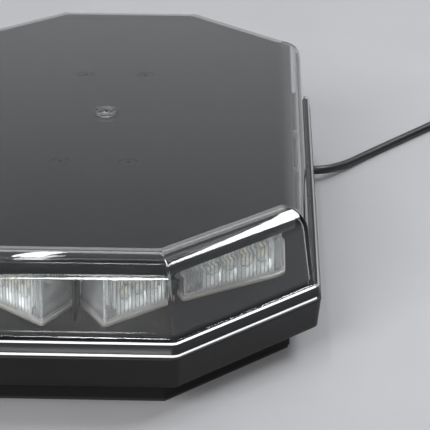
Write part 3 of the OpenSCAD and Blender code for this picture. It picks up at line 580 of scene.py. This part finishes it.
# each head has a fluted wall, a reflector and its optics; it is made once and mirrored to its other places
walls, reflectors, optics = [], [], []
for kind, path, ribbed, ys in (
    ("end", END_HEAD, [(31.5, 61)], [0]),
    ("corner", CORNER_PATH, [(19, 62), (68, 96)], [0]),
    ("side", None, [(14, 55)], list(SIDE_PLACES)),
):
    for y in ys:
        lens = head_points(path or side_path(y), ribbed)
        rows = rows_of(kind, y)
        mirror = joined([bright_strip(*row) for row in rows])
        cups = []
        for a, b, n in rows:
            _, long, out = facing(a, b)
            wide = min(4.3, 0.46 * long / n)
            cups += [cup_lens(a + (b - a) * (i + 0.5) / n, out, LED_Z, wide, 2.6) for i in range(n)]
        cups = joined(cups)
        for left in (0, 1):
            for rear in ((0,) if kind == "side" else (0, 1)):
                node = node_of(kind, y, left, rear)
                wall = welded(piece_of(node + "_wall", *mirrored(*lens, left, rear)))
                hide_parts(node)
                walls.append(wall)
                strip = piece_of(node + "_reflector", *mirrored(*mirror, left, rear))
                reflectors.append(strip)
                optic = welded(piece_of(node + "_optics", *mirrored(*cups, left, rear)))
                optics.append(optic)


def rib_points(y_from, y_to, low=26.9, high=53.4, half=0.55):
    """An upright rib between two heads: a section with a blunt top carried from y_from to y_to."""
    section = np.array([
        (-half, low), (half, low), (half, high - 0.5), (0.5 * half, high), (-0.5 * half, high), (-half, high - 0.5),
    ])
    points = np.concatenate([np.insert(section, 1, y, axis=1) for y in (y_from, y_to)])
    i = np.arange(len(section))
    k = np.roll(i, -1)
    far = len(section)
    faces = np.stack([i, i + far, k + far, k], 1).tolist() + [i.tolist(), (i + far)[::-1].tolist()]
    return points, faces


# a dark upright rib stands in the gap of the two heads at each end, in the deck's painted-shade material
ribs = [piece_of("front_rib", *rib_points(-158, -138)), piece_of("rear_rib", *rib_points(138, 158))]

# ---------------------------------------------------------------- materials
# most real grains here are under 0.1 mm, too fine to show, so they are drawn at 0.25 to 1.2 mm

# polished clear polycarbonate, injection moulded: slow waves bend the reflections a little
clear_dome = clear_stock("clear_polycarbonate", "#f6f8f8", 0.004, 70, 0.012)
# painted highlight: the dome's flange edges drawn white, with a faint glow of their own, as thin bright lines
dome_edge, _, _ = finish_of(
    "painted_highlight_ends", "#ffffff", 0.25, IOR=1.49, Emission_Color=(1, 1, 1, 1), Emission_Strength=0.12,
)
# the band between them: the gasket greys it from behind, and mould marks streak it along its length
flange_face = grained(
    "streaked_flange_face", "#242528", 0.3, 0.9, 0.004, 0.05, 0.3, stretch=(0.05, 0.05, 1), Specular_IOR_Level=0.3,
)
# painted highlight on the long sides' upper flange edge: grey, dimmer than at the ends
side_edge, _, _ = finish_of("painted_highlight_long_sides", "#98989a", 0.3, IOR=1.49)
# clear acrylic of the heads, fluted inside: short waves break up what shows through
clear_lens = clear_stock("clear_acrylic", "#e6e9ea", 0.05, 6, 0.03, through=0.9)
# the heads' foot rims, left rough from the mould, in a light grey
rim_stock = grained("moulded_rim", "#8a8682", 0.4, 0.5, 0.02, 0.06, 0.12)
# polished acrylic of the small optics: smooth, so the LEDs show sharp
clear_optic = clear_stock("optical_acrylic", "#f6f6f4", 0.02, 12, 0.01)
# vacuum metallised reflector: bright, a little hazy
bright_metal = grained("metallised_reflector", "#f2f2f0", 0.24, 1.2, 0.02, 0.05, 0.06, Metallic=0.55)
# black ABS, injection moulded with a fine spark-eroded texture: a soft even sheen
black_abs = grained("black_abs_textured", "#0b0b0c", 0.42, 0.45, 0.035, 0.05, 0.10, Specular_IOR_Level=0.35)
# the foot's ABS, darker and duller than the skirt's: painted shade on the foot under the skirt
pan_abs = grained("black_abs_foot_painted_shade", "#080808", 0.55, 0.6, 0.03, 0.05, 0.10, Specular_IOR_Level=0.25)
# painted shade on the deck under the dome: a darker copy of the same ABS, almost without sheen
deck_abs = grained("black_abs_deck_painted_shade", "#060606", 0.75, 0.45, 0.03, 0.05, 0.10, Specular_IOR_Level=0.06)
# black glossy sheet of the cover plate, thermoformed and faintly hazy
gloss_black = grained("black_gloss_sheet", "#0c0c0c", 0.12, 0.8, 0.004, 0.03, 0.15)
# moulded nitrile rubber: matt, with a slightly dusty tone
black_rubber = grained("black_rubber", "#161616", 0.65, 0.3, 0.05, 0.08, 0.15)
# extruded PVC jacket of the cord: half gloss
cord_jacket = grained("black_pvc_jacket", "#0b0b0c", 0.42, 0.5, 0.03, 0.06, 0.12)
# zinc-plated steel: bright grey, with a cloudy finish
plated_steel = grained("zinc_plated_steel", "#b4b4b0", 0.3, 0.35, 0.01, 0.08, 0.08, Metallic=1.0)
# steel blackened in hot salts: dark, with a low metal sheen
black_oxide = grained("black_oxide_steel", "#2a2a2b", 0.35, 0.3, 0.01, 0.06, 0.1, Metallic=1.0)
# pressed and sintered ferrite: dark grey and stony
ferrite = grained("sintered_ferrite", "#39393b", 0.6, 0.4, 0.03, 0.08, 0.15)
# rolled aluminium, left bare: fine streaks along the rolling
sheet_alu = grained(
    "bare_aluminium_sheet", "#bfc1c4", 0.34, 0.5, 0.01, 0.08, 0.06, stretch=(1, 0.08, 1), Metallic=1.0,
)
# solder masks, sprayed and cured: smooth and half gloss
white_mask = grained("white_solder_mask", "#dcdcd6", 0.35, 0.4, 0.01, 0.05, 0.04)
green_mask = grained("green_solder_mask", "#1c5a33", 0.3, 0.4, 0.01, 0.05, 0.12)
# LED phosphor in silicone: pale yellow and soft
phosphor = grained("led_phosphor", "#dbd3b2", 0.4, 0.3, 0.01, 0.05, 0.08)
# epoxy moulding of the chips: dull black
chip_black = grained("moulded_epoxy", "#1b1b1c", 0.55, 0.25, 0.02, 0.06, 0.1)
# heat-shrunk PVC sleeve of the capacitors: smooth blue
sleeve_blue = grained("shrunk_sleeve", "#27345f", 0.3, 0.6, 0.01, 0.05, 0.1)
# moulded polyamide of the terminal block and the sockets: half matt
terminal_green = grained("moulded_terminal", "#3b8248", 0.4, 0.4, 0.01, 0.05, 0.08)
nylon_white = grained("moulded_nylon", "#e2e2dc", 0.45, 0.4, 0.01, 0.05, 0.05)
# extruded PVC of the wires
wire_red = grained("red_pvc_wire", "#8f1f1f", 0.4, 0.5, 0.02, 0.05, 0.1)
# polycarbonate blend of the plug, injection moulded: glossier than the base
plug_black = grained("black_plug_moulding", "#141415", 0.33, 0.5, 0.02, 0.05, 0.1)
# nickel-plated brass of the contacts: bright and a little warm
plug_nickel = grained("nickel_plated_brass", "#c4c2bb", 0.2, 0.3, 0.005, 0.06, 0.05, Metallic=1.0)
# glazed ceramic of the fuse
fuse_white = grained("fuse_ceramic", "#dad8d0", 0.35, 0.3, 0.01, 0.05, 0.05)
# ABS of the button, coloured through
button_red = grained("red_button_moulding", "#a8271c", 0.32, 0.4, 0.01, 0.05, 0.08)
# matt moulding of the vent
vent_membrane = grained("vent_moulding", "#232324", 0.5, 0.3, 0.02, 0.05, 0.08)
# pale laminate of the table top, faintly mottled
table_top = grained("pale_laminate", "#b8b8ba", 0.55, 2.0, 0.004, 0.04, 0.02)


def flange_stock(p):
    """Which of the dome's materials each face has: the flange's two edges carry painted highlight lines, on the long
    sides only the upper one and dimmer, and the band between them is streaked."""
    clear, highlight_line, streaked, dim_highlight_line = range(4)
    out, z, long_side = inset_of(p) < 2.2, p[:, 2], np.abs(p[:, 0]) > 95
    low, high = out & (z < 27.1), out & (z > 31.45) & (z < 32.45)
    band = np.where(out & (z < 31.45), streaked, clear)
    return np.where(high & long_side, dim_highlight_line, np.where((low | high) & ~long_side, highlight_line, band))


clad(dome, clear_dome, dome_edge, flange_face, side_edge)
clad_by_place(dome, flange_stock)
# the base's faces above the rim's ledge take the deck's painted shade
clad(base, black_abs, deck_abs)
clad_by_place(base, lambda p: p[:, 2] > RIM_Z + 0.1)
clad(plate, gloss_black)
clad(cord, cord_jacket)
# the ribs take the deck's painted shade
for rib in ribs:
    clad(rib, deck_abs)
for wall in walls:
    clad(wall, clear_lens, rim_stock)
    clad_by_place(wall, lambda p: p[:, 2] < FOOT_RIM_Z)
for strip in reflectors:
    clad(strip, bright_metal)
for optic in optics:
    clad(optic, clear_optic)
for names, material in (
    (("foot_pan",), pan_abs),
    (("rubber_pad", "dome_gasket", "cord_grommet", "strain_relief", "plug_relief", "cord_tie"), black_rubber),
    (("magnet_cups", "magnet_screws", "cover_screws", "dome_screws", "frame_screws", "board_standoffs"), plated_steel),
    (("magnet_discs", "inductors"), ferrite),
    (("vent_plug",), vent_membrane),
    (("plate_screws",), black_oxide),
    (("plate_posts", "heat_frame"), sheet_alu),
    (("end_led_boards", "corner_led_boards", "side_led_boards"), white_mask),
    (("end_leds", "corner_leds", "side_leds"), phosphor),
    (("driver_board",), green_mask),
    (("controller_chip", "power_switches"), chip_black),
    (("capacitors",), sleeve_blue),
    (("terminal_block",), terminal_green),
    (("wire_sockets",), nylon_white),
    (("harness",), wire_red),
    (("plug_handle", "plug_barrel", "plug_rocker"), plug_black),
    (("plug_cap", "plug_tip", "plug_side_contacts"), plug_nickel),
    (("plug_fuse",), fuse_white),
    (("plug_button",), button_red),
):
    for name in names:
        clad(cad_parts[name], material)
# the clear pieces let lamp light through to what they cover
for thing in [dome] + walls + optics:
    thing.visible_shadow = False


# ---------------------------------------------------------------- stage
floor = bpy.data.objects.new("floor", bpy.data.meshes.new("floor"))
floor.data.from_pydata([(-4, -3, 0), (4, -3, 0), (4, 5, 0), (-4, 5, 0)], [], [(0, 1, 2, 3)])
bpy.context.scene.collection.objects.link(floor)
clad(floor, table_top)


def softbox(name, spot, target, size, power, tint=(1, 1, 1)):
    """A rectangular lamp at spot that faces target."""
    lamp = bpy.data.lights.new(name, "AREA")
    lamp.shape, lamp.size, lamp.size_y = "RECTANGLE", size[0], size[1]
    lamp.energy, lamp.color = power, tint
    thing = bpy.data.objects.new(name, lamp)
    bpy.context.scene.collection.objects.link(thing)
    thing.location = spot
    thing.rotation_euler = (Vector(target) - Vector(spot)).to_track_quat("-Z", "Y").to_euler()
    return thing


# a broad soft light behind and above, a long tube overhead, a window behind to the right, a low lamp in front
# that is rolled a little, and a fill on each side in front
softbox("back_light", (-0.1, 2.05, 1.6), (0, 0, 0), (3.0, 0.72), 10)
softbox("overhead_tube", (-0.265, 0.6, 2.0), (-0.265, 0.6, 0), (0.045, 1.0), 3.8)
softbox("window", (1.30, 0.77, 1.60), (0, -0.1, 0.05), (1.2, 0.33), 25, (0.95, 0.97, 1.0))
low = softbox("low_lamp", (-0.15, -2.2, 0.3), (0, -0.16, 0.05), (0.19, 0.5), 7)
low.rotation_euler.rotate_axis("Z", math.radians(-20))
softbox("fill_left", (-1.25, -2.0, 1.5), (0, -0.1, 0), (1.6, 1.1), 47)
softbox("fill_right", (1.5, -1.5, 1.4), (0, -0.1, 0), (1.4, 1.0), 12)

# a grey room, lighter near the horizon and darker overhead
world = bpy.data.worlds.new("room")
bpy.context.scene.world = world
world.use_nodes = True
sky = world.node_tree
direction = add(sky, "ShaderNodeTexCoord")
height = add(sky, "ShaderNodeSeparateXYZ", {"Vector": direction.outputs["Generated"]})
tone = add(sky, "ShaderNodeValToRGB", {"Fac": height.outputs["Z"]})
horizon, overhead = tone.color_ramp.elements
horizon.position, overhead.position = 0.275, 0.41
horizon.color, overhead.color = colour("#c8c9cb"), colour("#8f9093")
sky.links.new(tone.outputs["Color"], sky.nodes["Background"].inputs["Color"])
sky.nodes["Background"].inputs["Strength"].default_value = 0.62
